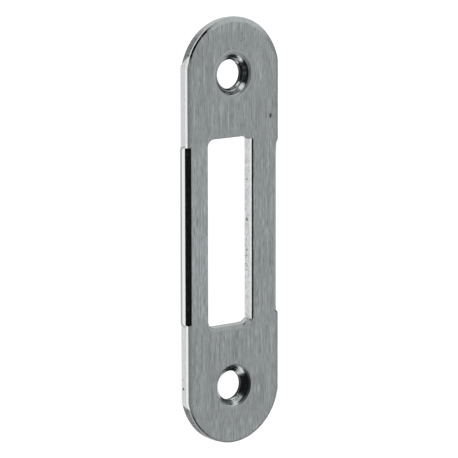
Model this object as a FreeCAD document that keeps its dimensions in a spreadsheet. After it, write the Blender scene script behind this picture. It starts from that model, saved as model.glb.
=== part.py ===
import FreeCAD, Part
import os
import Sketcher

# A flat strike plate for a mortice latch, stamped from one strip of brushed steel.
# It stands on end: +Z runs along its length and its front faces -Y.
# The origin is the middle of the flat back, which seats in the door frame.
# All lengths are in millimetres and the one angle is in degrees.
SIZES = [
    ("plate_width", 22.0, "width of the strip"),
    ("plate_length", 82.0, "overall length, end to end"),
    ("plate_thickness", 2.0, "thickness of the strip"),
    ("end_overcut", 0.2, "how far the end cutter's radius exceeds half the width"),
    ("shear_band", 0.8, "depth of the clean cut on the rounded ends"),
    ("shear_recess", 0.1, "how far the torn part of that cut falls back"),
    ("edge_roll", 0.3, "rolled front edge of the outline"),
    ("window_width", 10.2, "latch window across the plate"),
    ("window_length", 36.2, "latch window along the plate"),
    ("window_offset", 0.85, "window centre from the middle, towards -X"),
    ("window_corner", 1.2, "corner radius of the window's plain side"),
    ("step_width", 1.55, "how far the shorter part of the window reaches in from its right"),
    ("step_drop", 0.65, "how much lower each end of that part stops"),
    ("step_corner", 0.25, "corner radius of the window's stepped side"),
    ("window_roll", 0.2, "rolled front edge of the window"),
    ("screw_spacing", 60.0, "distance between the screw holes"),
    ("screw_hole", 5.6, "screw hole diameter"),
    ("countersink", 8.1, "countersink diameter at the front, before its rim is rounded"),
    ("countersink_angle", 90.0, "included angle of the countersink"),
    ("countersink_rim", 0.7, "rounding of the countersink's rim"),
    ("bevel_length", 34.0, "length of the coined bevels beside the window"),
    ("bevel_across", 1.0, "bevel measured across the front"),
    ("bevel_depth", 0.7, "bevel measured down the side"),
    ("swell", 0.19, "how far coining pushes the foot of the side outwards"),
    ("swell_reach", 0.3, "how far the swelling runs past each end of the bevel"),
    ("swell_corner", 0.9, "rounded corner at each end of the swelling"),
]

doc = FreeCAD.newDocument("strike_plate_model")
sheet = doc.addObject("Spreadsheet::Sheet", "sizes")
for row, (alias, value, meaning) in enumerate(SIZES, start=1):
    sheet.set("A%d" % row, meaning)
    sheet.set("B%d" % row, str(value))
    sheet.setAlias("B%d" % row, alias)
doc.recompute()

# Places across the plate (X), through it (Y) and along it (Z), as expressions on the
# sheet. Each is written once and used by every feature that meets there.
LEFT = "-(sizes.plate_width / 2)"
RIGHT = "(sizes.plate_width / 2)"
BACK = "0 * sizes.plate_thickness"
FRONT = "-sizes.plate_thickness"
TOP = "(sizes.plate_length / 2)"
MIDDLE = "0 * sizes.plate_width"
END_RADIUS = "(sizes.plate_width / 2 + sizes.end_overcut)"
END_CENTRE = "(%s - %s)" % (TOP, END_RADIUS)
END_CORNER = "(%s + sqrt(%s ^ 2 - %s ^ 2))" % (END_CENTRE, END_RADIUS, RIGHT)
SHEAR_START = "-(sizes.plate_thickness - sizes.shear_band)"
TORN_TOP = "(%s - sizes.shear_recess)" % TOP
WINDOW_LEFT = "-(sizes.window_width / 2 + sizes.window_offset)"
WINDOW_RIGHT = "(sizes.window_width / 2 - sizes.window_offset)"
WINDOW_TOP = "(sizes.window_length / 2)"
STEP_LEFT = "(%s - sizes.step_width)" % WINDOW_RIGHT
STEP_TOP = "(%s - sizes.step_drop)" % WINDOW_TOP
SCREW_TOP = "(sizes.screw_spacing / 2)"
BEVEL_FOOT = "-(sizes.plate_thickness - sizes.bevel_depth)"
BEVEL_INNER = "-(sizes.plate_width / 2 - sizes.bevel_across)"
SWELL_OUTER = "-(sizes.plate_width / 2 + sizes.swell)"
SWELL_TOP = "(sizes.bevel_length / 2 + sizes.swell_reach)"
# A cutter reaches past the metal that it removes by the plate's own thickness.
PAST_TOP = "(%s + sizes.plate_thickness)" % TOP
PAST_LEFT = "(%s - sizes.plate_thickness)" % SWELL_OUTER
PAST_FRONT = "(2 * %s)" % FRONT

# Two places closer than this are taken as one.
TOUCHING = 1e-4

body = doc.addObject("PartDesign::Body", "strike_plate")
body.Label = "strike_plate"
body.Placement = FreeCAD.Placement()
doc.recompute()


def number(expression):
    return float(sheet.evalExpression(expression))


def point(across, along):
    return FreeCAD.Vector(number(across), number(along), 0)


def origin_plane(role):
    for item in body.Origin.OriginFeatures:
        if item.Role == role:
            return item
    raise RuntimeError("no origin plane named " + role)


def new_sketch(name, role, offset=None):
    """An empty sketch on an origin plane, moved along its normal by an expression."""
    sketch = body.newObject("Sketcher::SketchObject", name)
    sketch.AttachmentSupport = [(origin_plane(role), "")]
    sketch.MapMode = "FlatFace"
    if offset:
        sketch.setExpression("AttachmentOffset.Base.z", offset)
    return sketch


def bind(sketch, kind, places, expression):
    """Add one dimension to a sketch and tie it to the sheet."""
    index = sketch.addConstraint(Sketcher.Constraint(kind, *places, number(expression)))
    name = "%s_%d" % (kind, index)
    sketch.renameConstraint(index, name)
    sketch.setExpression("Constraints." + name, expression)


def place(sketch, curve, end, across, along):
    """Fix one point of a curve across and along from the sketch's origin."""
    bind(sketch, "DistanceX", (-1, 1, curve, end), across)
    bind(sketch, "DistanceY", (-1, 1, curve, end), along)


def add_line(sketch, start, finish, construction=False):
    return sketch.addGeometry(Part.LineSegment(point(*start), point(*finish)), construction)


def add_arc(sketch, start, middle, finish):
    return sketch.addGeometry(Part.Arc(point(*start), point(*middle), point(*finish)), False)


def join_ends(sketch, count):
    """Close a run of curves, each joined to the next by its end."""
    for i in range(count):
        sketch.addConstraint(Sketcher.Constraint("Coincident", i, 2, (i + 1) % count, 1))


def polygon(sketch, corners):
    """A closed run of straight lines through (across, along) corners."""
    for i, corner in enumerate(corners):
        add_line(sketch, corner, corners[(i + 1) % len(corners)])
        place(sketch, i, 1, *corner)
    join_ends(sketch, len(corners))


def feature(kind, name, sketch=None, sizes=(), **settings):
    """Add a feature, set it up, tie its sizes to the sheet and make it the tip."""
    doc.recompute()
    made = body.newObject("PartDesign::" + kind, name)
    if sketch:
        made.Profile = sketch
    for key, setting in settings.items():
        setattr(made, key, setting)
    for target, expression in sizes:
        made.setExpression(target, expression)
    body.Tip = made
    doc.recompute()
    return made


def cut(kind, name, base, **settings):
    """A feature that has to take metal away from the one before it."""
    made = feature(kind, name, **settings)
    if made.Shape.Volume >= base.Shape.Volume:
        raise RuntimeError(name + " removed nothing")
    return made


def mirror(name, base, originals, role):
    return cut("Mirrored", name, base, Originals=originals, MirrorPlane=(origin_plane(role), [""]))


def near(a, b):
    return abs(a - b) < TOUCHING


def in_front(edge):
    front = number(FRONT)
    return near(edge.BoundBox.YMin, front) and near(edge.BoundBox.YMax, front)


def edges_of(base, wanted):
    """A link to the edges of a feature that a test picks out."""
    names = ["Edge%d" % i for i, edge in enumerate(base.Shape.Edges, start=1) if wanted(edge)]
    if not names:
        raise RuntimeError("no such edge on " + base.Name)
    return base, names


# The blank: two straight strip edges joined by an arc at each end. The cutter's
# radius is a little over half the width, which leaves a faint corner where it meets
# the strip's own edge.
def make_blank():
    sketch = new_sketch("outline", "XZ_Plane")
    add_line(sketch, (RIGHT, "-" + END_CORNER), (RIGHT, END_CORNER))
    add_arc(sketch, (RIGHT, END_CORNER), (MIDDLE, TOP), (LEFT, END_CORNER))
    add_line(sketch, (LEFT, END_CORNER), (LEFT, "-" + END_CORNER))
    add_arc(sketch, (LEFT, "-" + END_CORNER), (MIDDLE, "-" + TOP), (RIGHT, "-" + END_CORNER))
    join_ends(sketch, 4)
    for line, side in ((0, RIGHT), (2, LEFT)):
        sketch.addConstraint(Sketcher.Constraint("Vertical", line))
        bind(sketch, "DistanceX", (-1, 1, line, 1), side)
    for arc, centre in ((1, END_CENTRE), (3, "-" + END_CENTRE)):
        place(sketch, arc, 3, MIDDLE, centre)
        bind(sketch, "Radius", (arc,), END_RADIUS)
    return feature("Pad", "blank", sketch, sizes=[("Length", "sizes.plate_thickness")])


# The torn part of each end cut falls back towards the plate's rear.
def shear_ends(base):
    sketch = new_sketch("end_shear_profile", "YZ_Plane")
    polygon(sketch, [(SHEAR_START, TOP), (BACK, TORN_TOP), (BACK, PAST_TOP), (SHEAR_START, PAST_TOP)])
    axis = add_line(sketch, (FRONT, END_CENTRE), (BACK, END_CENTRE), construction=True)
    place(sketch, axis, 1, FRONT, END_CENTRE)
    place(sketch, axis, 2, BACK, END_CENTRE)
    upper = cut("Groove", "end_shear", base, sketch=sketch, ReferenceAxis=(sketch, ["Axis0"]),
                Angle=180.0, Midplane=True)
    return mirror("end_shears", upper, [upper], "XY_Plane")


def roll_outline(base):
    return cut("Fillet", "outline_roll", base, Base=edges_of(base, in_front),
               sizes=[("Radius", "sizes.edge_roll")])


# The latch window, off the middle so that the rim beside it is wider on one side. Its
# right part is a little shorter, which leaves a small step at both right corners.
def cut_window(base):
    sketch = new_sketch("window_outline", "XZ_Plane")
    polygon(sketch, [(WINDOW_LEFT, "-" + WINDOW_TOP), (STEP_LEFT, "-" + WINDOW_TOP),
                     (STEP_LEFT, "-" + STEP_TOP), (WINDOW_RIGHT, "-" + STEP_TOP),
                     (WINDOW_RIGHT, STEP_TOP), (STEP_LEFT, STEP_TOP),
                     (STEP_LEFT, WINDOW_TOP), (WINDOW_LEFT, WINDOW_TOP)])
    window = cut("Pocket", "window", base, sketch=sketch, Type="ThroughAll", Midplane=True)
    left = number(WINDOW_LEFT)
    right = number(WINDOW_RIGHT)
    top = number(WINDOW_TOP)

    def beside_window(edge):
        box = edge.BoundBox
        across = box.XMin > left - TOUCHING and box.XMax < right + TOUCHING
        return across and box.ZMin > -top - TOUCHING and box.ZMax < top + TOUCHING

    def is_corner(edge):
        return beside_window(edge) and near(edge.BoundBox.XLength + edge.BoundBox.ZLength, 0)

    def is_plain(edge):
        return is_corner(edge) and near(edge.BoundBox.XMin, left)

    def is_stepped(edge):
        return is_corner(edge) and not near(edge.BoundBox.XMin, left)

    def is_rim(edge):
        return beside_window(edge) and in_front(edge)

    plain = feature("Fillet", "window_corners", Base=edges_of(window, is_plain),
                    sizes=[("Radius", "sizes.window_corner")])
    stepped = feature("Fillet", "step_corners", Base=edges_of(plain, is_stepped),
                      sizes=[("Radius", "sizes.step_corner")])
    return cut("Fillet", "window_roll", stepped, Base=edges_of(stepped, is_rim),
               sizes=[("Radius", "sizes.window_roll")])


# Two countersunk screw holes on the plate's middle line, their rims worn round.
def cut_screw_holes(base):
    sketch = new_sketch("screw_hole_centres", "XZ_Plane", offset="-" + FRONT)
    for centre in (SCREW_TOP, "-" + SCREW_TOP):
        circle = Part.Circle(point(MIDDLE, centre), FreeCAD.Vector(0, 0, 1), number("sizes.screw_hole / 2"))
        index = sketch.addGeometry(circle, False)
        place(sketch, index, 3, MIDDLE, centre)
        bind(sketch, "Diameter", (index,), "sizes.screw_hole")
    holes = cut("Hole", "screw_holes", base, sketch=sketch,
                DepthType="ThroughAll", HoleCutType="Countersink", HoleCutCustomValues=True,
                sizes=[("Diameter", "sizes.screw_hole"),
                       ("HoleCutDiameter", "sizes.countersink"),
                       ("HoleCutCountersinkAngle", "sizes.countersink_angle")])
    rim = number("sizes.countersink / 2")

    def is_rim(edge):
        return in_front(edge) and isinstance(edge.Curve, Part.Circle) and near(edge.Curve.Radius, rim)

    return cut("Fillet", "countersink_rims", holes, Base=edges_of(holes, is_rim),
               sizes=[("Radius", "sizes.countersink_rim")])


# Coining the edge beside the window pushes the foot of the side outwards: a thin
# wedge, nothing at the bevel and widest at the back, with rounded ends.
def swell_side():
    sketch = new_sketch("swell_outline", "YZ_Plane", offset=LEFT)
    polygon(sketch, [(BEVEL_FOOT, "-" + SWELL_TOP), (BACK, "-" + SWELL_TOP),
                     (BACK, SWELL_TOP), (BEVEL_FOOT, SWELL_TOP)])
    pad = feature("Pad", "swell_pad", sketch, sizes=[("Length", "sizes.swell")], Reversed=True)
    outer = number(SWELL_OUTER)
    top = number(SWELL_TOP)

    def is_end(edge):
        box = edge.BoundBox
        at_back = near(box.YMin, 0) and near(box.YLength, 0)
        return at_back and near(box.XMin, outer) and near(abs(box.ZMin), top) and near(box.ZLength, 0)

    rounded = cut("Fillet", "swell_ends", pad, Base=edges_of(pad, is_end),
                  sizes=[("Radius", "sizes.swell_corner")])
    slope = new_sketch("swell_slope_profile", "XY_Plane")
    polygon(slope, [(LEFT, BEVEL_FOOT), (SWELL_OUTER, BACK), (PAST_LEFT, BACK), (PAST_LEFT, BEVEL_FOOT)])
    wedge = cut("Pocket", "swell_slope", rounded, sketch=slope, Midplane=True,
                sizes=[("Length", "2 * " + SWELL_TOP)])
    return pad, rounded, wedge


# A coined bevel: a flat facet along the front edge with square ends.
def coin_bevel(base):
    sketch = new_sketch("bevel_profile", "XY_Plane")
    polygon(sketch, [(BEVEL_INNER, FRONT), (LEFT, BEVEL_FOOT), (PAST_LEFT, BEVEL_FOOT),
                     (PAST_LEFT, PAST_FRONT), (BEVEL_INNER, PAST_FRONT)])
    return cut("Pocket", "bevel", base, sketch=sketch, Midplane=True,
               sizes=[("Length", "sizes.bevel_length")])


def make_plate():
    blank = make_blank()
    rolled = roll_outline(shear_ends(blank))
    window = cut_window(rolled)
    cut_screw_holes(window)
    swelling = swell_side()
    bevel = coin_bevel(swelling[-1])
    mirror("far_side", bevel, [*swelling, bevel], "YZ_Plane")


make_plate()
doc.recompute()
for item in doc.Objects:
    if "Invalid" in item.State or "Error" in item.State:
        raise RuntimeError("%s did not compute: %s" % (item.Name, item.State))
if body.Shape.isNull() or not body.Shape.isValid():
    raise RuntimeError("the plate's shape isn't valid")

os.makedirs("parts", exist_ok=True)
body.Shape.exportStep("parts/%s.step" % body.Label)
print("strike_plate volume", round(body.Shape.Volume, 3), "faces", len(body.Shape.Faces))
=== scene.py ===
import math

import bmesh
import bpy
from mathutils import Matrix, Vector, noise


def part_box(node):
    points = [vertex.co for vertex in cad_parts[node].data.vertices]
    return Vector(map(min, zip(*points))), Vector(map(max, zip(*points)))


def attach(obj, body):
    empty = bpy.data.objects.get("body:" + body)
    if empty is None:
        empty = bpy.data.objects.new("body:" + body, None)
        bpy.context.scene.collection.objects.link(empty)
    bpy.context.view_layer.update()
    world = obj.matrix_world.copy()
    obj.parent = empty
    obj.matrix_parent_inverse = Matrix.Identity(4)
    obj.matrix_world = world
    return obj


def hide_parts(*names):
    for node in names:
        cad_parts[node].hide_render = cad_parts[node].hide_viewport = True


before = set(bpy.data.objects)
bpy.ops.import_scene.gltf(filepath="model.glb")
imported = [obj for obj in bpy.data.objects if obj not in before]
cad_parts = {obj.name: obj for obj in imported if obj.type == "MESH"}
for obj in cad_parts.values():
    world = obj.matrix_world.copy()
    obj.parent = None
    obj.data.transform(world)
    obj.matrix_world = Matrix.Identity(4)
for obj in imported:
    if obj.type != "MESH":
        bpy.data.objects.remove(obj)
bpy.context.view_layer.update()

# The looks of a stamped and brushed steel strike plate. The plate's sizes are in
# millimetres until its mesh is written, in the frame of the solid: +Z runs along it and
# its front faces -Y. Coining makes its sides swell out beside the window.
MM = 0.001
low, high = (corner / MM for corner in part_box("strike_plate"))
THICKNESS = high.y - low.y
FRONT = low.y
SWELL = 0.19
HALF_WIDTH = high.x - SWELL

# The outline: straight sides and end arcs a little larger than half the width. The
# walls lie a little inside it, and their back edge is slightly rounded.
END_OVERCUT = 0.2
END_RADIUS = HALF_WIDTH + END_OVERCUT
END_CENTRE = high.z - END_RADIUS
END_ANGLE = math.asin(HALF_WIDTH / END_RADIUS)
END_CORNER = END_CENTRE + END_RADIUS * math.cos(END_ANGLE)
WALL_INSET = 0.012
BACK_EDGE = 0.08

# The rolled front edge, as its width on the front, its depth down the wall and its sag,
# which is 1 for a straight facet and 2 for an even curve. Round the ends it is soft,
# apart from a steeper crescent on the left. Its curve is a small part of an ellipse.
LEFT_ROLL = (0.85, 0.09, 1.7)
RIGHT_ROLL = (0.6, 0.16, 1.6)
TOP_ROLL = (0.95, 0.2, 2.0)
TOP_CRESCENT = (0.34, 0.23, 1.05)
BOTTOM_ROLL = (0.4, 0.05, 2.0)
BOTTOM_CRESCENT = (0.3, 0.11, 1.05)
ROLL_CHANGE = (32.8, 35.2)
CRESCENT_END = (4.6, 7.0)
ROLL_ROUND = 0.06

# On the left the wall leans in near the front. The lean grows with the distance from
# the middle and is full at a share of the half width.
WALL_LEAN = 0.25
LEAN_DEPTH = 1.0
LEAN_FULL = 0.8

# The end cuts, as the height where each begins at the front, how fast that border drops
# with depth, and how far the torn part behind the clean cut falls back. The torn part
# starts at a depth and has a rough relief.
TOP_SHEAR = (34.6, 1.03, 0.2)
BOTTOM_SHEAR = (33.35, 0.45, 0.1)
SHEAR_BORDER = 0.1
SHEAR_START = 0.8
TORN_RELIEF = 0.035

# The coined bevels beside the window and the swelling behind them. The right bevel runs
# out at its ends: it has a first share of its size there, gains the second over the
# length given for the top or the bottom, and the third over three times that length.
BEVEL_TOP = 17.0
BEVEL_ACROSS = 1.0
BEVEL_DEPTH = 0.74
BEVEL_SAG = 1.2
BEVEL_ROUND = 0.08
BEVEL_RUNOUT = (1.3, 0.4)
RUNOUT_SHARES = (0.2, 0.58, 0.22)
SWELL_TOP = 17.3
SWELL_CORNER = 0.9
SWELL_FADE = 0.3

# The latch window. Its right part is a little shorter, so both right corners have a
# small step. Corners are (across, along, radius) for the upper half.
WINDOW_TOP = 18.1
WINDOW_LEFT = -5.95
WINDOW_RIGHT = 4.22
WINDOW_CORNERS = [(WINDOW_RIGHT, 17.4, 0.2), (3.1, 17.56, 0.6), (2.35, WINDOW_TOP, 0.6),
                  (WINDOW_LEFT, WINDOW_TOP, 1.4)]
STEP_RELIEF = 0.5
RELIEF_DEPTH = (0.3, 1.4)

# Its right wall leans, and its clean cut ends at a depth, with a soft border.
WINDOW_LEAN = 0.45
WINDOW_TORN = 0.8
TORN_BORDER = 0.15
WINDOW_INSET = 0.004
TORN_INSET = 0.015

# Its front edge, as a width and a depth. At the top it is sharper, by the amounts given,
# and at the foot it widens towards the right.
PLAIN_EDGE = (0.22, 0.1)
SHARPER_EDGE = (0.12, 0.06)
RIGHT_EDGE = (0.34, 0.19)
FOOT_EDGE = (0.75, 0.28)
FOOT_WIDENING = 0.2
EDGE_SAG = 1.3
EDGE_ROUND = 0.3

# The two screw holes, the upper one first in each pair. A worn rim is widest on the side
# that its drift points to. It turns to its slope over its first shares and towards the
# cone over its last.
SCREW_TOP = 30.0
SCREW_RADIUS = 2.8
SINK_RADIUS = 4.05
RIM_SLOPES = (17.0, 29.0)
RIM_WIDTHS = (0.85, 0.7)
RIM_DRIFTS = ((0.14, 0.26), (0.16, -0.07))
RIM_TURN_IN = (0.0, 0.3)
RIM_TURN_OUT = (0.7, 1.0)
RIM_END_SLOPE = 45.0
CONE_SLOPES = (49.0, 45.0)

# The upper cone has a flatter step where the tool paused, between two shares of it.
TOOL_STEP = (0.55, 0.72)
TOOL_STEP_SLOPE = 19.0

# How finely each form is drawn. The flats begin a short support away from an edge.
STATION = 0.28
ROLL_STEPS = 10
WALL_STEPS = 12
CONE_STEPS = 14
BACK_STEPS = 3
CORNER_STEP = math.radians(7.0)
HOLE_STEPS = 144
SUPPORT = 0.1
STEP_GAP = 0.05
SHARP_ANGLE = math.radians(34.0)

# Material indices on the plate.
FACE, ROLLED, BEVEL, EDGE, WINDOW_RIM, WINDOW, SINK, LAND, BACK = range(9)


def ripple(x, y, z, seed=0.0):
    """Small repeatable unevenness of about -1 to 1."""
    return noise.noise(Vector((x + 17.3 * seed, y - 9.1 * seed, z + 5.7 * seed)))


def blend(value, start, end):
    """0 before the start, 1 past the end and smooth between them."""
    t = max(0.0, min(1.0, (value - start) / (end - start)))
    return t * t * (3 - 2 * t)


def between(a, b, share):
    """The numbers part way from one list to another."""
    return [p + (q - p) * share for p, q in zip(a, b)]


def rolled(width, depth, sag, round_share, foot):
    """Points (inset, depth) from the front, over its edge, to the top of a wall.

    The edge is a facet, straight where sag is 1 and curved where it is more, mixed with
    part of an ellipse."""
    points = [(foot + width + SUPPORT, 0.0)]
    for i in range(ROLL_STEPS + 1):
        t = i / ROLL_STEPS
        angle = math.radians(90.0) * t
        across = round_share * (1 - math.sin(angle)) + (1 - round_share) * (1 - t)
        down = round_share * (1 - math.cos(angle)) + (1 - round_share) * t ** sag
        points.append((foot + width * across, depth * down))
    return points


def wall(start, inset_at):
    """Points down a wall, round the small back edge and onto the back."""
    end = THICKNESS - BACK_EDGE
    points = []
    for i in range(1, WALL_STEPS + 1):
        depth = start + (end - start) * i / WALL_STEPS
        points.append((inset_at(depth), depth))
    foot = points[-1][0]
    for i in range(1, BACK_STEPS + 1):
        angle = math.radians(90.0) * i / BACK_STEPS
        points.append((foot + BACK_EDGE * (1 - math.cos(angle)),
                       THICKNESS - BACK_EDGE * (1 - math.sin(angle))))
    return points + [(foot + BACK_EDGE + SUPPORT, THICKNESS)]


def swell_at(z, depth):
    """How far the coined side stands out: a wedge, widest at the back, with round ends."""
    share = max(0.0, depth - BEVEL_DEPTH) / (THICKNESS - BEVEL_DEPTH)
    along = abs(z) - (SWELL_TOP - SWELL_CORNER)
    behind = depth - (THICKNESS + SWELL_FADE - SWELL_CORNER)
    inside = SWELL_CORNER - math.hypot(max(along, 0.0), max(behind, 0.0))
    return SWELL * share * blend(inside, 0.0, SWELL_FADE)


def outer_inset(x, z, depth):
    """How far the outer wall lies inside the plate's outline."""
    line, slope, recess = TOP_SHEAR if z > 0 else BOTTOM_SHEAR
    sheared = blend(abs(z) + slope * depth, line - SHEAR_BORDER, line + SHEAR_BORDER)
    torn = max(0.0, depth - SHEAR_START) / (THICKNESS - SHEAR_START)
    coarse = abs(ripple(x * 3, depth * 3, z * 3))
    fine = abs(ripple(x * 7, depth * 5, z * 7))
    rough = 0.5 * coarse + 0.3 * fine
    fall = sheared * (recess * torn + TORN_RELIEF * rough * min(1.0, 4 * torn))
    uneven = 0.5 * WALL_INSET * ripple(x, depth * 2.0, z * 1.4)
    lean = WALL_LEAN * max(0.0, 1 - depth / LEAN_DEPTH) * blend(-x / HALF_WIDTH, 0.0, LEAN_FULL)
    return WALL_INSET + uneven + lean + fall - swell_at(z, depth)


def side_profile(x, z, nx, nz):
    """The outline away from the bevels: rolled edge, then the cut wall."""
    side_roll = LEFT_ROLL if x < 0 else RIGHT_ROLL
    plain, crescent = (TOP_ROLL, TOP_CRESCENT) if z > 0 else (BOTTOM_ROLL, BOTTOM_CRESCENT)
    end_roll = between(plain, crescent, blend(-x, *CRESCENT_END))
    width, depth, sag = between(side_roll, end_roll, blend(abs(z), *ROLL_CHANGE))
    uneven = 1 + 0.2 * ripple(x, 0, z * 0.9) + 0.14 * ripple(x, 3, z * 2.6)
    width *= uneven
    depth *= uneven
    lines = rolled(width, depth, sag, ROLL_ROUND, outer_inset(x, z, depth))
    return lines + wall(depth, lambda d: outer_inset(x, z, d))


def bevel_profile(x, z, nx, nz):
    """A coined facet with soft borders, then the side that it pushed outwards."""
    size = 1.0
    if x > 0:
        from_end = BEVEL_TOP - abs(z)
        runout = BEVEL_RUNOUT[0] if z > 0 else BEVEL_RUNOUT[1]
        least, quick, slow = RUNOUT_SHARES
        size = least + quick * blend(from_end, 0.0, runout) + slow * blend(from_end, 0.0, 3 * runout)
    depth = BEVEL_DEPTH * size
    lines = rolled(BEVEL_ACROSS * size, depth, BEVEL_SAG, BEVEL_ROUND, outer_inset(x, z, depth))
    return lines + wall(depth, lambda d: outer_inset(x, z, d))


def steps_between(a, b, spacing):
    count = max(1, round(abs(b - a) / spacing))
    return [a + (b - a) * i / count for i in range(count + 1)]


def side_stations(side):
    """Stations up one straight side (side 1 is +X), as (x, z, nx, nz, profile)."""
    stops = [(-END_CORNER, -BEVEL_TOP, side_profile),
             (STEP_GAP - BEVEL_TOP, BEVEL_TOP - STEP_GAP, bevel_profile),
             (BEVEL_TOP, END_CORNER, side_profile)]
    return [(side * HALF_WIDTH, z, side, 0.0, profile)
            for start, end, profile in stops for z in steps_between(start, end, STATION)]


def end_stations(end):
    """Stations round one end arc (end 1 is the top), from +X to -X, corners left out."""
    made = []
    count = round(2 * END_ANGLE * END_RADIUS / STATION)
    for i in range(1, count):
        angle = END_ANGLE - 2 * END_ANGLE * i / count
        across, along = math.sin(angle), end * math.cos(angle)
        made.append((END_RADIUS * across, end * END_CENTRE + END_RADIUS * along,
                     across, along, side_profile))
    return made


def outline_stations():
    left = list(reversed(side_stations(-1)))
    bottom = list(reversed(end_stations(-1)))
    stations = side_stations(1) + end_stations(1) + left + bottom
    # At the four faint corners the inset runs along the miter of the two edges.
    for i, (x, z, nx, nz, profile) in enumerate(stations):
        if abs(abs(z) - END_CORNER) < 1e-6:
            second = (nx * math.sin(END_ANGLE), math.copysign(math.cos(END_ANGLE), z))
            share = 1 + nx * second[0]
            stations[i] = (x, z, (nx + second[0]) / share, second[1] / share, profile)
    return stations


def window_stations():
    """Stations round the window, its corners rounded. Normals point into the opening."""
    lower = [(x, -z, radius) for x, z, radius in reversed(WINDOW_CORNERS)]
    corners = lower + WINDOW_CORNERS
    places = [Vector((x, z)) for x, z, radius in corners]
    count = len(corners)
    runs = [(places[(i + 1) % count] - places[i]).normalized() for i in range(count)]
    arcs = []
    for i, (x, z, radius) in enumerate(corners):
        turn = runs[i - 1].angle_signed(runs[i]) * -1
        reach = radius * math.tan(abs(turn) / 2)
        first = places[i] - runs[i - 1] * reach
        inward = Vector((-runs[i - 1].y, runs[i - 1].x))
        centre = first + inward * math.copysign(radius, turn)
        steps = max(2, math.ceil(abs(turn) / CORNER_STEP))
        arc = []
        for k in range(steps + 1):
            angle = turn * k / steps
            normal = Vector((inward.x * math.cos(angle) - inward.y * math.sin(angle),
                             inward.x * math.sin(angle) + inward.y * math.cos(angle)))
            arc.append((centre - normal * math.copysign(radius, turn), normal))
        arcs.append(arc)
    made = []
    for i, arc in enumerate(arcs):
        made += arc
        start, normal = arc[-1]
        end = arcs[(i + 1) % count][0][0]
        for t in steps_between(0.0, 1.0, STATION / (end - start).length)[1:-1]:
            made.append((start.lerp(end, t), normal))
    return [(at.x, at.y, normal.x, normal.y, window_profile) for at, normal in made]


def window_profile(x, z, nx, nz):
    """The window's wall. The right side leans and has a facet, the foot a wide roll."""
    right, foot, roof = max(0.0, -nx), max(0.0, nz), max(0.0, -nz)
    foot_width = FOOT_EDGE[0] + FOOT_WIDENING * blend(x, WINDOW_LEFT, WINDOW_RIGHT)
    width = max(PLAIN_EDGE[0] - SHARPER_EDGE[0] * roof,
                RIGHT_EDGE[0] * right ** 2, foot_width * foot ** 2)
    depth = max(PLAIN_EDGE[1] - SHARPER_EDGE[1] * roof,
                RIGHT_EDGE[1] * right ** 2, FOOT_EDGE[1] * foot ** 2)
    width *= 1 + 0.15 * ripple(x, 1, z * 1.2)
    # At a step the wall falls back behind the front, to a plain rounded corner.
    step_left, step_middle = WINDOW_CORNERS[2][0], WINDOW_CORNERS[1][0]
    relief = STEP_RELIEF * blend(x, step_left, step_middle) * (1 - blend(x, step_middle, WINDOW_RIGHT))

    def inset_at(d):
        torn = blend(d, WINDOW_TORN - TORN_BORDER, WINDOW_TORN + TORN_BORDER)
        chatter = 0.012 * ripple(x, d * 1.5, z * 1.8, 2) + 0.01 * ripple(x, d * 4, z * 4.5, 3)
        lean = WINDOW_LEAN * right ** 2 * (1 - d / THICKNESS)
        fall = relief * blend(d, *RELIEF_DEPTH)
        even = WINDOW_INSET * (1 + ripple(x, d, z * 0.7, 4))
        return even + lean + fall + torn * (TORN_INSET + chatter)

    lines = rolled(width, depth, EDGE_SAG, EDGE_ROUND, inset_at(depth))
    return lines + wall(depth, inset_at)


def hole_stations(centre):
    made = []
    for i in range(HOLE_STEPS):
        angle = 2 * math.pi * i / HOLE_STEPS
        nx, nz = math.cos(angle), math.sin(angle)
        made.append((SCREW_RADIUS * nx, centre + SCREW_RADIUS * nz, -nx, -nz, hole_profile))
    return made


def hole_profile(x, z, nx, nz):
    """Worn rim, countersink and short straight hole. The upper cone has a tool step."""
    hole = 0 if z > 0 else 1
    drift_across, drift_along = RIM_DRIFTS[hole]
    rim_width = RIM_WIDTHS[hole] - nx * drift_across - nz * drift_along

    rim_slopes = []
    for i in range(ROLL_STEPS):
        t = (i + 0.5) / ROLL_STEPS
        turn_out = (RIM_END_SLOPE - RIM_SLOPES[hole]) * blend(t, *RIM_TURN_OUT)
        rim_slopes.append(RIM_SLOPES[hole] * blend(t, *RIM_TURN_IN) + turn_out)
    rim_drop = sum(math.tan(math.radians(slope)) for slope in rim_slopes) * rim_width / ROLL_STEPS

    cone_slopes = []
    for i in range(CONE_STEPS):
        stepped = z > 0 and TOOL_STEP[0] < (i + 0.5) / CONE_STEPS < TOOL_STEP[1]
        cone_slopes.append(TOOL_STEP_SLOPE if stepped else CONE_SLOPES[hole])
    cone_width = SINK_RADIUS - SCREW_RADIUS - rim_drop

    inset, depth = cone_width + rim_width, 0.0
    lines = [(inset + SUPPORT, depth), (inset, depth)]
    for width, slopes in ((rim_width, rim_slopes), (cone_width, cone_slopes)):
        for slope in slopes:
            inset -= width / len(slopes)
            depth += width / len(slopes) * math.tan(math.radians(slope))
            lines.append((inset, depth))
    return lines + wall(depth, lambda d: 0.0)


def sweep(bm, stations, material_at):
    """Sweep each station's profile round a closed loop. Returns front and back rings."""
    rows = []
    for x, z, nx, nz, profile in stations:
        row = []
        for inset, depth in profile(x, z, nx, nz):
            row.append(bm.verts.new(((x - inset * nx) * MM, (FRONT + depth) * MM, (z - inset * nz) * MM)))
        rows.append(row)
    count = len(rows)
    for i in range(count):
        here, after = rows[i], rows[(i + 1) % count]
        profile = stations[i][4]
        for k in range(len(here) - 1):
            face = bm.faces.new((here[k], here[k + 1], after[k + 1], after[k]))
            face.material_index = material_at(profile, k, len(here) - 1)
            face.smooth = True
    return [row[0] for row in rows], [row[-1] for row in rows]


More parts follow.
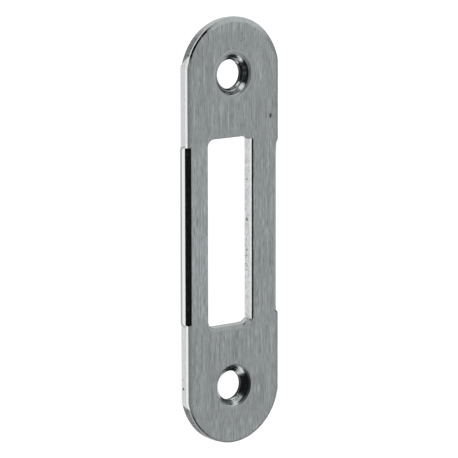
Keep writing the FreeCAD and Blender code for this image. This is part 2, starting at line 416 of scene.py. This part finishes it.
def fill(bm, rings, material):
    """Fill a flat between closed rings of vertices."""
    edges = []
    for ring in rings:
        for i, vert in enumerate(ring):
            edges.append(bm.edges.get((vert, ring[(i + 1) % len(ring)])))
    made = bmesh.ops.triangle_fill(bm, use_beauty=True, use_dissolve=False, edges=edges)
    for item in made["geom"]:
        if isinstance(item, bmesh.types.BMFace):
            item.material_index = material
            item.smooth = True


def outline_material(profile, k, last):
    if k == 0:
        return FACE
    if k <= ROLL_STEPS:
        return BEVEL if profile is bevel_profile else ROLLED
    return BACK if k == last - 1 else EDGE


def window_material(profile, k, last):
    if k == 0:
        return FACE
    if k <= ROLL_STEPS:
        return WINDOW_RIM
    return BACK if k == last - 1 else WINDOW


def hole_material(profile, k, last):
    if k == 0:
        return FACE
    if k <= ROLL_STEPS + CONE_STEPS:
        return SINK
    return BACK if k == last - 1 else LAND


def plate_mesh():
    bm = bmesh.new()
    loops = [(outline_stations(), outline_material), (window_stations(), window_material),
             (hole_stations(SCREW_TOP), hole_material), (hole_stations(-SCREW_TOP), hole_material)]
    fronts, backs = [], []
    for stations, material_at in loops:
        front, back = sweep(bm, stations, material_at)
        fronts.append(front)
        backs.append(back)
    fill(bm, fronts, FACE)
    fill(bm, backs, BACK)
    bmesh.ops.recalc_face_normals(bm, faces=bm.faces)
    mesh = bpy.data.meshes.new("strike_plate_looks")
    bm.to_mesh(mesh)
    bm.free()
    mesh.set_sharp_from_angle(angle=SHARP_ANGLE)
    return mesh


class Graph:
    """Small helper for writing a material's nodes."""

    def __init__(self, name):
        self.material = bpy.data.materials.new(name)
        self.material.use_nodes = True
        self.tree = self.material.node_tree
        self.tree.nodes.clear()
        self.output = self.tree.nodes.new("ShaderNodeOutputMaterial")
        self.shader = self.tree.nodes.new("ShaderNodeBsdfPrincipled")
        self.link(self.shader.outputs["BSDF"], self.output.inputs["Surface"])
        self.place = self.tree.nodes.new("ShaderNodeTexCoord").outputs["Object"]

    def link(self, source, target):
        self.tree.links.new(source, target)

    def feed(self, value, target):
        if isinstance(value, bpy.types.NodeSocket):
            self.link(value, target)
        else:
            target.default_value = value

    def axes(self, names):
        """The object coordinates along the named axes, such as "XZ"."""
        node = self.tree.nodes.new("ShaderNodeSeparateXYZ")
        self.link(self.place, node.inputs[0])
        return [node.outputs[name] for name in names]

    def maths(self, operation, a, b=0.0):
        node = self.tree.nodes.new("ShaderNodeMath")
        node.operation = operation
        self.feed(a, node.inputs[0])
        self.feed(b, node.inputs[1])
        return node.outputs[0]

    def times(self, a, b):
        return self.maths("MULTIPLY", a, b)

    def past(self, place, start):
        """How far a place lies past a start in millimetres, and 0 before it."""
        return self.maths("MAXIMUM", self.maths("SUBTRACT", place, start * MM), 0.0)

    def distance(self, a, b):
        """The length of a line that runs a one way and b across it."""
        return self.maths("SQRT", self.maths("ADD", self.times(a, a), self.times(b, b)))

    def stretched(self, across, through, along, move=(0.0, 0.0, 0.0)):
        """Object coordinates, scaled to cells of the given sizes in millimetres."""
        node = self.tree.nodes.new("ShaderNodeMapping")
        node.inputs["Scale"].default_value = [1 / (size * MM) for size in (across, through, along)]
        node.inputs["Location"].default_value = move
        self.link(self.place, node.inputs["Vector"])
        return node.outputs["Vector"]

    def cloud(self, vector, detail=2.0, roughness=0.5):
        node = self.tree.nodes.new("ShaderNodeTexNoise")
        node.inputs["Scale"].default_value = 1.0
        node.inputs["Detail"].default_value = detail
        node.inputs["Roughness"].default_value = roughness
        self.link(vector, node.inputs["Vector"])
        return node.outputs["Fac"]

    def spread(self, value, start, end, before=0.0, after=1.0, smooth=False):
        """One level up to a start, another from an end on, and a slope between them."""
        node = self.tree.nodes.new("ShaderNodeMapRange")
        node.interpolation_type = "SMOOTHSTEP" if smooth else "LINEAR"
        for socket, number in zip(node.inputs[1:5], (start, end, before, after)):
            socket.default_value = number
        self.feed(value, node.inputs["Value"])
        return node.outputs["Result"]

    def ramp(self, place, start, end, before=0.0, after=1.0, smooth=False):
        """A spread between two places in millimetres."""
        return self.spread(place, start * MM, end * MM, before, after, smooth)

    def vary(self, noise, low=0.0, high=1.0, reach=0.2):
        """Two levels, blended as a noise passes through the middle of its range."""
        return self.spread(noise, 0.5 - reach, 0.5 + reach, low, high)

    def mix(self, factor, a, b):
        """Blend two colours or colour sockets. The numbered sockets are the colour ones."""
        node = self.tree.nodes.new("ShaderNodeMix")
        node.data_type = "RGBA"
        self.feed(factor, node.inputs["Factor"])
        self.feed(a, node.inputs[6])
        self.feed(b, node.inputs[7])
        return node.outputs[2]

    def tint(self, colour, level):
        """A colour multiplied by a level socket."""
        node = self.tree.nodes.new("ShaderNodeVectorMath")
        node.operation = "SCALE"
        self.feed(colour if isinstance(colour, bpy.types.NodeSocket) else colour[:3], node.inputs[0])
        self.feed(level, node.inputs["Scale"])
        return node.outputs[0]

    def pitted(self, level, pits):
        """A level that drops in small soft pits."""
        for across, depth, along, radius in pits:
            node = self.tree.nodes.new("ShaderNodeVectorMath")
            node.operation = "DISTANCE"
            self.link(self.place, node.inputs[0])
            node.inputs[1].default_value = (across * MM, (FRONT + depth) * MM, along * MM)
            away = node.outputs["Value"]
            level = self.times(level, self.ramp(away, PIT_CORE * radius, PIT_RIM * radius,
                                                PIT_LEVEL, 1.0, smooth=True))
        return level

    def bump(self, height, distance, after=None):
        """A height of 0 to 1 as relief of the given depth in millimetres."""
        node = self.tree.nodes.new("ShaderNodeBump")
        node.inputs["Strength"].default_value = 1.0
        node.inputs["Distance"].default_value = distance * MM
        self.link(height, node.inputs["Height"])
        if after:
            self.link(after, node.inputs["Normal"])
        return node.outputs["Normal"]

    def finish(self, colour, roughness, normal=None, anisotropic=0.0, metallic=1.0):
        shader = self.shader
        shader.inputs["Metallic"].default_value = metallic
        self.feed(colour, shader.inputs["Base Color"])
        self.feed(roughness, shader.inputs["Roughness"])
        if normal:
            self.link(normal, shader.inputs["Normal"])
        if anisotropic:
            shader.inputs["Anisotropic"].default_value = anisotropic
            tangent = self.tree.nodes.new("ShaderNodeTangent")
            tangent.direction_type = "RADIAL"
            tangent.axis = "Z"
            self.link(tangent.outputs[0], shader.inputs["Tangent"])
        return self.material


# How far the red, green and blue of cool steel lie from a neutral grey.
STEEL_TINT = (-0.065, -0.005, 0.01)

# Small dark pits, as (across, depth, along, radius). Each is darkest in its core and
# fades out at its rim, at these shares of the radius.
PIT_CORE = 0.4
PIT_RIM = 1.3
PIT_LEVEL = 0.15
FACE_PITS = [(9.06, 0.0, 21.6, 0.3), (9.0, 0.0, 21.25, 0.26), (2.17, 0.0, 37.66, 0.12),
             (2.82, 0.0, 36.61, 0.11), (2.0, 0.0, 36.31, 0.11)]
SIDE_PITS = [(-HALF_WIDTH, 1.35, -29.3, 0.3), (-HALF_WIDTH, 1.5, -27.6, 0.14)]
PITTED_WALL = 4.35
WINDOW_PITS = [(PITTED_WALL, depth, along, radius) for depth, along, radius in (
    (1.35, 9.53, 0.2), (1.3, 1.66, 0.24), (1.45, 1.95, 0.18), (1.5, -2.1, 0.14),
    (1.4, -4.2, 0.18), (1.45, -5.3, 0.14), (1.55, -6.9, 0.16), (1.4, -8.1, 0.12),
    (1.62, -5.8, 0.1), (1.3, -6.3, 0.1), (1.5, -4.7, 0.1), (1.25, -7.4, 0.1))]

# Brighter places on the front: the narrow strip beside the window, drawn by the coining,
# and the polished border of the top end, its crown. Each pair is a blend's two ends.
STRIP_ACROSS = (-7.0, -5.0)
STRIP_ALONG = (15.0, 18.0)
STRIP_LEVEL = 1.14
CROWN_REACH = (8.2, 10.4)
CROWN_ACROSS = (-6.5, -3.5)
CROWN_ALONG = (2.0, 6.0)
CROWN_LEVEL = 1.1

# Where the rolled edge turns from polished to satin, round the top. There it is also painted
# a lighter grey, which is painted light from above.
SATIN_AND_LIGHT_ALONG = (36.0, 39.0)
SATIN_AND_LIGHT_ACROSS = (-6.4, -4.6)

# The cut edges: the depths over which the clean cut ends, on the sides and on the ends,
# how far that border wanders, and the height over which the whole top cut turns to a
# lighter grey, which is painted light from above.
SIDE_CLEAN = (0.66, 0.78)
END_CLEAN = (0.48, 0.56)
CLEAN_WANDER = 0.25
TOP_PAINTED_LIGHT = (37.3, 39.9)

# The burnished swelling and the fine dark line round it, which is a painted dark
# reflection. Both follow the distance past a height and a depth, which gives them round ends.
SWELL_CORE = (16.3, 0.75)
SWELL_BURNISHED = (0.8, 0.95)
PAINTED_LINE_BEGINS = (0.65, 0.75)
PAINTED_LINE_ENDS = (0.95, 1.05)
PAINTED_LINE_DEPTH = (0.5, 0.8)

# The window's wall: how far its clean cut's border wanders and fades, and the height
# over which it turns into the torn short walls.
WINDOW_WANDER = 0.3
WINDOW_FADE = 0.1
SHORT_WALL = (17.25, 17.45)

# The countersinks: tool rings to a millimetre, and the width of their dull outer border.
TOOL_RINGS = 5.5
DULL_BORDER = 0.25


def grey(level, cool=1.0):
    """Steel of a given level. A lower cool is nearer to a neutral grey."""
    return (*(level * (1 + shift * cool) for shift in STEEL_TINT), 1.0)


def brushed_face():
    g = Graph("brushed_steel_face")
    fine = g.cloud(g.stretched(0.042, 1.0, 1.9), detail=2.0, roughness=0.6)
    long = g.cloud(g.stretched(0.055, 1.0, 9.0, (3.0, 0, 0)), detail=2.0)
    broad = g.cloud(g.stretched(0.9, 1.0, 12.0, (6.0, 0, 0)), detail=1.0)
    patches = g.cloud(g.stretched(2.5, 5.0, 9.0), detail=1.0)
    streaks = g.maths("ADD", g.times(fine, 0.55), g.times(long, 0.45))
    level = g.times(g.vary(streaks, 0.22, 1.7, reach=0.15), g.vary(patches, 0.97, 1.03))
    level = g.times(level, g.vary(broad, 0.94, 1.06))

    x, z = g.axes("XZ")
    beside_window = g.ramp(g.maths("ABSOLUTE", z), *STRIP_ALONG, 1.0, 0.0)
    strip = g.times(g.ramp(x, *STRIP_ACROSS, 1.0, 0.0), beside_window)
    level = g.times(level, g.spread(strip, 0.0, 1.0, 1.0, STRIP_LEVEL))

    up = g.past(z, END_CENTRE)
    crown = g.times(g.ramp(g.distance(x, up), *CROWN_REACH), g.ramp(x, *CROWN_ACROSS))
    crown = g.times(crown, g.ramp(up, *CROWN_ALONG))
    level = g.times(level, g.spread(crown, 0.0, 1.0, 1.0, CROWN_LEVEL))

    colour = g.tint(grey(0.59), g.pitted(level, FACE_PITS))
    return g.finish(colour, g.vary(fine, 0.54, 0.44), g.bump(fine, 0.0015),
                    anisotropic=0.75, metallic=0.8)


def rolled_edge():
    """The outer edge: polished on the sides and the crescents, satin round the top, where its lighter
    grey is painted light from above.
    """
    g = Graph("rolled_steel_edge")
    x, z = g.axes("XZ")
    marks = g.cloud(g.stretched(0.2, 0.2, 1.4), detail=2.0)
    satin_painted_light = g.times(g.ramp(z, *SATIN_AND_LIGHT_ALONG), g.ramp(x, *SATIN_AND_LIGHT_ACROSS))
    # Painted light from above: the satin top is a lighter grey than the polished sides; its extra
    # roughness is the real satin finish.
    colour = g.tint(g.mix(satin_painted_light, grey(0.4), grey(0.8)), g.vary(marks, 0.85, 1.12))
    roughness = g.maths("ADD", g.vary(marks, 0.1, 0.16), g.times(satin_painted_light, 0.28))
    return g.finish(colour, roughness, g.bump(marks, 0.002))


def window_rim():
    g = Graph("rolled_steel_window_rim")
    marks = g.cloud(g.stretched(0.2, 0.2, 1.4), detail=2.0)
    colour = g.tint(grey(0.58), g.vary(marks, 0.8, 1.12))
    return g.finish(colour, g.vary(marks, 0.16, 0.26), g.bump(marks, 0.002))


def coined_bevel():
    g = Graph("coined_steel_bevel")
    marks = g.cloud(g.stretched(0.3, 0.3, 0.8), detail=3.0)
    colour = g.tint(grey(0.5), g.vary(marks, 0.85, 1.1))
    return g.finish(colour, g.spread(marks, 0.35, 0.7, 0.12, 0.24), g.bump(marks, 0.002))


def on_end_cut(g, height, depth, shear):
    """1 on an end cut beyond its slanted border, 0 on the strip's own side."""
    line, slope = shear[:2]
    slant = g.maths("ADD", height, g.times(depth, slope))
    return g.ramp(slant, line - SHEAR_BORDER, line + SHEAR_BORDER, smooth=True)


def swelling_and_painted_line(g, z, depth):
    """The burnished swelling beside a bevel, and the fine dark line round it, a painted dark reflection.
    """
    past_height = g.past(g.maths("ABSOLUTE", z), SWELL_CORE[0])
    past_depth = g.past(depth, SWELL_CORE[1])
    away = g.distance(past_height, past_depth)
    burnished = g.ramp(away, *SWELL_BURNISHED, 1.0, 0.0)
    line = g.times(g.ramp(away, *PAINTED_LINE_BEGINS), g.ramp(away, *PAINTED_LINE_ENDS, 1.0, 0.0))
    return burnished, g.times(line, g.ramp(depth, *PAINTED_LINE_DEPTH))


def cut_edge():
    """The outer wall: burnished and torn bands on the straight sides, sheared ends."""
    g = Graph("cut_steel_edge")
    y, z = g.axes("YZ")
    depth = g.maths("SUBTRACT", y, FRONT * MM)
    wander = g.cloud(g.stretched(2.0, 2.0, 1.6), detail=2.0)
    wavy = g.maths("ADD", depth, g.times(wander, CLEAN_WANDER * MM))
    fine = g.cloud(g.stretched(0.25, 0.5, 0.25), detail=3.0, roughness=0.65)
    grain = g.vary(fine, reach=0.15)

    swelling, line = swelling_and_painted_line(g, z, depth)
    burnished = g.maths("MAXIMUM", g.ramp(wavy, *SIDE_CLEAN, 1.0, 0.0, smooth=True), swelling)
    side = g.mix(burnished, g.mix(grain, grey(0.54, 0.3), grey(0.66, 0.3)), grey(0.76, 0.2))
    # Painted dark reflection: a fine dark line round the burnished swelling.
    side = g.mix(line, side, grey(0.33))

    clean = g.ramp(wavy, *END_CLEAN, 1.0, 0.0, smooth=True)
    # Painted light from above: the clean cut is a lighter grey on the upper end than on the lower.
    clean_cut_painted_light = g.mix(g.ramp(z, -1.0, 1.0), grey(0.36, 0.3), grey(0.75, 0.3))
    end = g.mix(clean, g.mix(grain, grey(0.13), grey(0.33)), clean_cut_painted_light)
    # Painted light from above: near the top the end cut turns to a lighter grey.
    end = g.mix(g.ramp(z, *TOP_PAINTED_LIGHT), end, grey(0.56, 0.3))
    on_end = g.maths("ADD", on_end_cut(g, z, depth, TOP_SHEAR),
                     on_end_cut(g, g.times(z, -1.0), depth, BOTTOM_SHEAR))

    colour = g.tint(g.mix(on_end, side, end), g.pitted(1.0, SIDE_PITS))
    roughness = g.maths("ADD", g.spread(burnished, 0.0, 1.0, 0.38, 0.22), g.times(on_end, 0.2))
    return g.finish(colour, roughness, g.bump(fine, 0.006))


def window_wall():
    g = Graph("punched_steel_wall")
    y, z = g.axes("YZ")
    depth = g.maths("SUBTRACT", y, FRONT * MM)
    wander = g.cloud(g.stretched(2.0, 2.0, 1.3), detail=2.0)
    wavy = g.maths("ADD", depth, g.times(wander, WINDOW_WANDER * MM))
    burnished = g.ramp(wavy, WINDOW_TORN - WINDOW_FADE, WINDOW_TORN + WINDOW_FADE, 1.0, 0.0, smooth=True)
    fine = g.cloud(g.stretched(0.3, 0.4, 0.6), detail=3.0, roughness=0.6)
    torn = g.mix(g.vary(fine, reach=0.15), grey(0.5, 0.3), grey(0.74, 0.3))
    clean = g.mix(g.vary(wander, reach=0.15), grey(0.68, 0.2), grey(0.8, 0.2))
    short = g.mix(g.vary(fine), grey(0.42, 0.3), grey(0.56, 0.3))
    on_short = g.ramp(g.maths("ABSOLUTE", z), *SHORT_WALL)
    colour = g.mix(on_short, g.mix(burnished, torn, clean), short)
    colour = g.tint(colour, g.pitted(1.0, WINDOW_PITS))
    return g.finish(colour, g.spread(burnished, 0.0, 1.0, 0.4, 0.24), g.bump(fine, 0.006))


def turned_sink():
    g = Graph("turned_steel_countersink")
    x, z = g.axes("XZ")
    up = g.maths("SUBTRACT", g.maths("ABSOLUTE", z), SCREW_TOP * MM)
    radius = g.distance(x, up)
    noise_node = g.tree.nodes.new("ShaderNodeTexNoise")
    noise_node.noise_dimensions = "1D"
    noise_node.inputs["Scale"].default_value = 1.0
    noise_node.inputs["Detail"].default_value = 2.0
    g.link(g.times(radius, TOOL_RINGS / MM), noise_node.inputs["W"])
    rings = noise_node.outputs["Fac"]
    smears = g.cloud(g.stretched(0.7, 0.7, 0.7), detail=3.0)
    colour = g.tint(grey(0.62), g.vary(rings, 0.62, 1.3, reach=0.15))
    normal = g.bump(smears, 0.03, after=g.bump(rings, 0.02))
    dull = g.ramp(radius, SINK_RADIUS - DULL_BORDER, SINK_RADIUS, 0.0, 0.2)
    return g.finish(colour, g.maths("ADD", g.vary(smears, 0.1, 0.18), dull), normal)


def hole_land_painted_shade():
    """The short straight part of a screw hole, dull from drilling. Its nearly black colour is painted
    shade inside the hole.
    """
    g = Graph("drilled_steel_land_painted_shade")
    marks = g.cloud(g.stretched(0.5, 0.2, 0.5), detail=2.0)
    # Painted shade: the nearly black grey stands for the shade inside the hole.
    return g.finish(g.tint(grey(0.04), g.vary(marks, 0.4, 1.6, reach=0.15)), 0.32)


def plain_back():
    g = Graph("brushed_steel_back")
    fine = g.cloud(g.stretched(0.2, 1.0, 4.0, (9.0, 0, 5.0)), detail=3.0, roughness=0.6)
    patches = g.cloud(g.stretched(4.0, 4.0, 9.0, (2.0, 0, 7.0)), detail=2.0)
    level = g.times(g.vary(fine, 0.68, 1.25, reach=0.18), g.vary(patches, 0.88, 1.1))
    return g.finish(g.tint(grey(0.36), level), g.vary(fine, 0.44, 0.34), g.bump(fine, 0.0015),
                    anisotropic=0.6)


def make_plate():
    mesh = plate_mesh()
    for make in (brushed_face, rolled_edge, coined_bevel, cut_edge, window_rim, window_wall,
                 turned_sink, hole_land_painted_shade, plain_back):
        mesh.materials.append(make())
    plate = bpy.data.objects.new("strike_plate_steel", mesh)
    bpy.context.scene.collection.objects.link(plate)
    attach(plate, "root")
    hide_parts("strike_plate")


# The stage, in metres.
FLOOR_HEIGHT = -0.42
FLOOR_SIZE = 12.0
FLOOR_GREY = 0.85
FLOOR_GLOW = 0.25


def stage_object(name, bm, material):
    mesh = bpy.data.meshes.new(name)
    bm.to_mesh(mesh)
    bm.free()
    mesh.materials.append(material)
    made = bpy.data.objects.new(name, mesh)
    bpy.context.scene.collection.objects.link(made)
    return made


def floor_material():
    material = bpy.data.materials.new("pale_floor")
    material.use_nodes = True
    tree = material.node_tree
    shader = tree.nodes["Principled BSDF"]
    shader.inputs["Base Color"].default_value = (FLOOR_GREY, FLOOR_GREY, FLOOR_GREY, 1)
    shader.inputs["Roughness"].default_value = 1.0
    shader.inputs["Specular IOR Level"].default_value = 0.0
    shader.inputs["Emission Color"].default_value = (1, 1, 1, 1)
    shader.inputs["Emission Strength"].default_value = FLOOR_GLOW
    return material


def make_floor():
    bm = bmesh.new()
    bmesh.ops.create_grid(bm, x_segments=1, y_segments=1, size=FLOOR_SIZE / 2)
    floor = stage_object("floor", bm, floor_material())
    floor.location.z = FLOOR_HEIGHT


# A curved screen stands round the front of the plate, so that polished steel has
# something to mirror. It is white with soft-edged cards on it, and the camera looks
# through it. Each card has a level and fades in and out over the angles given.
SCREEN_RADIUS = 0.4
SCREEN_AROUND = (-80.0, 146.0)
SCREEN_HEIGHT = (-74.0, 82.0)
SCREEN_SPACING = 2.0
CARDS = [
    # around the plate, up and down, level
    ((-80, -66, 120, 134), (-62, -50, 24, 44), 0.6),
    ((-80, -66, 70, 90), (-62, -52, -42, -28), 0.33),
    ((-78, -64, -10, 32), (-68, -60, 40, 52), 0.012),
    ((-26, -16, 12, 30), (20, 32, 50, 60), 0.012),
    ((50, 66, 132, 144), (24, 38, 60, 70), 0.1),
    ((-22, -14, 100, 120), (61, 65, 78, 82), 0.2),
    ((70, 82, 132, 144), (-6, 4, 60, 70), 0.1),
    ((44, 62, 134, 146), (-74, -68, -36, -22), 0.02),
]


def direction(azimuth, elevation):
    """The unit vector towards an azimuth (0 is -Y, 90 is +X) and elevation in degrees."""
    a, e = math.radians(azimuth), math.radians(elevation)
    return Vector((math.sin(a) * math.cos(e), -math.cos(a) * math.cos(e), math.sin(e)))


def screen_level(azimuth, elevation):
    level = 1.0
    for around, height, card_level in CARDS:
        cover = 1.0
        for angle, (rise, full, fall, clear) in ((azimuth, around), (elevation, height)):
            cover *= blend(angle, rise, full) * (1 - blend(angle, fall, clear))
        level += (card_level - level) * cover
    return level


def screen_material():
    material = bpy.data.materials.new("studio_screen")
    material.use_nodes = True
    tree = material.node_tree
    tree.nodes.clear()
    levels = tree.nodes.new("ShaderNodeAttribute")
    levels.attribute_name = "level"
    glow = tree.nodes.new("ShaderNodeEmission")
    output = tree.nodes.new("ShaderNodeOutputMaterial")
    tree.links.new(levels.outputs["Fac"], glow.inputs["Strength"])
    tree.links.new(glow.outputs[0], output.inputs["Surface"])
    return material


def make_screen():
    bm = bmesh.new()
    shade = bm.verts.layers.float.new("level")
    columns = []
    for azimuth in steps_between(*SCREEN_AROUND, SCREEN_SPACING):
        column = []
        for elevation in steps_between(*SCREEN_HEIGHT, SCREEN_SPACING):
            vert = bm.verts.new(direction(azimuth, elevation) * SCREEN_RADIUS)
            vert[shade] = screen_level(azimuth, elevation)
            column.append(vert)
        columns.append(column)
    for here, after in zip(columns, columns[1:]):
        for j in range(len(here) - 1):
            bm.faces.new((here[j], here[j + 1], after[j + 1], after[j]))
    screen = stage_object("studio_screen", bm, screen_material())
    screen.visible_camera = False
    screen.visible_diffuse = False
    screen.visible_shadow = False


def make_world():
    world = bpy.data.worlds.new("white_studio")
    world.use_nodes = True
    background = world.node_tree.nodes["Background"]
    background.inputs["Color"].default_value = (1, 1, 1, 1)
    background.inputs["Strength"].default_value = 1.0
    bpy.context.scene.world = world


# The camera, as the photograph was taken.
CAMERA_LENS = 270.68
CAMERA_AZIMUTH = -38.026
CAMERA_ELEVATION = 9.989
CAMERA_ROLL = -0.100
CAMERA_DISTANCE = 0.65360
AIM_ACROSS = -0.00079925
AIM_UP = 0.000511


def make_camera():
    back = direction(CAMERA_AZIMUTH, CAMERA_ELEVATION)
    level = Vector((-back.y, back.x, 0)).normalized()
    upright = back.cross(level)
    roll = math.radians(CAMERA_ROLL)
    right = math.cos(roll) * level + math.sin(roll) * upright
    up = math.cos(roll) * upright - math.sin(roll) * level
    aim = Vector((0, FRONT * MM, 0))
    position = aim + back * CAMERA_DISTANCE + level * AIM_ACROSS + upright * AIM_UP
    data = bpy.data.cameras.new("camera")
    data.lens = CAMERA_LENS
    data.sensor_width = 36.0
    data.clip_start = 0.05
    data.clip_end = 20.0
    camera = bpy.data.objects.new("camera", data)
    camera.matrix_world = Matrix.Translation(position) @ Matrix((right, up, back)).transposed().to_4x4()
    bpy.context.scene.collection.objects.link(camera)
    bpy.context.scene.camera = camera


make_plate()
make_floor()
make_screen()
make_world()
make_camera()
bpy.context.scene.view_settings.view_transform = "Standard"
